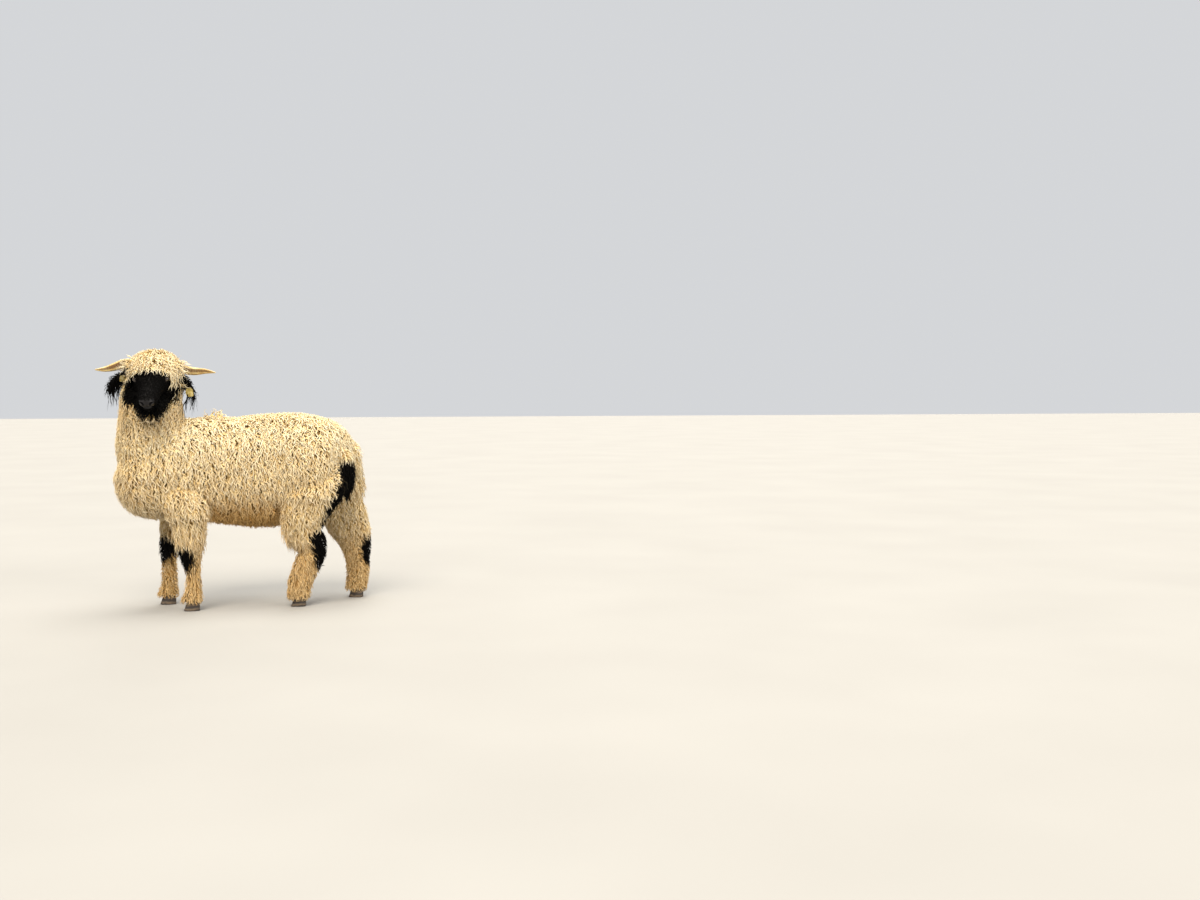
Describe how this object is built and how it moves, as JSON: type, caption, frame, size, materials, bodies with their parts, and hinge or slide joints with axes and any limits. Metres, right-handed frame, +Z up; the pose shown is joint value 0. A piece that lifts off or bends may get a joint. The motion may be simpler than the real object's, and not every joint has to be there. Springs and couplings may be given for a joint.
{
  "type": "valais blacknose sheep",
  "caption": "Life-size still model of a horned valais blacknose ewe, standing side-on with her head turned to look over her left side.",
  "frame": {"origin": "on the floor, under the middle of the bounding box", "axes": "+X towards her tail, -Y towards her left side and the camera, +Z up"},
  "size_m": [1.095, 0.5374, 1.0495],
  "materials": {
    "fleece": "long, curly, cream-white wool, shaded to honey on the flanks",
    "black_wool": "short, curly, brownish-black wool",
    "horn": "satin, ringed keratin, honey-coloured with brown grooves",
    "eye": "wet gloss, dark brown iris with a level pupil",
    "hoof": "dull dark keratin with fine growth lines",
    "ear_tag": "weathered yellow moulded plastic, bare"
  },
  "bodies": {
    "root": {"ear_left": "black_wool", "ear_right": "black_wool", "ear_tag_left": "ear_tag", "ear_tag_right": "ear_tag", "eye_left": "eye", "eye_right": "eye", "foreleg_left_claw_inner": "hoof", "foreleg_left_claw_outer": "hoof", "foreleg_left_lower": "fleece", "foreleg_left_upper": "fleece", "foreleg_right_claw_inner": "hoof", "foreleg_right_claw_outer": "hoof", "foreleg_right_lower": "fleece", "foreleg_right_upper": "fleece", "head_crown": "fleece", "head_face": "black_wool", "hindleg_left_claw_inner": "hoof", "hindleg_left_claw_outer": "hoof", "hindleg_left_lower": "fleece", "hindleg_left_upper": "fleece", "hindleg_right_claw_inner": "hoof", "hindleg_right_claw_outer": "hoof", "hindleg_right_lower": "fleece", "hindleg_right_upper": "fleece", "horn_left": "horn", "horn_right": "horn", "neck": "fleece", "tail": "black_wool", "torso": "fleece"}
  },
  "joints": []
}
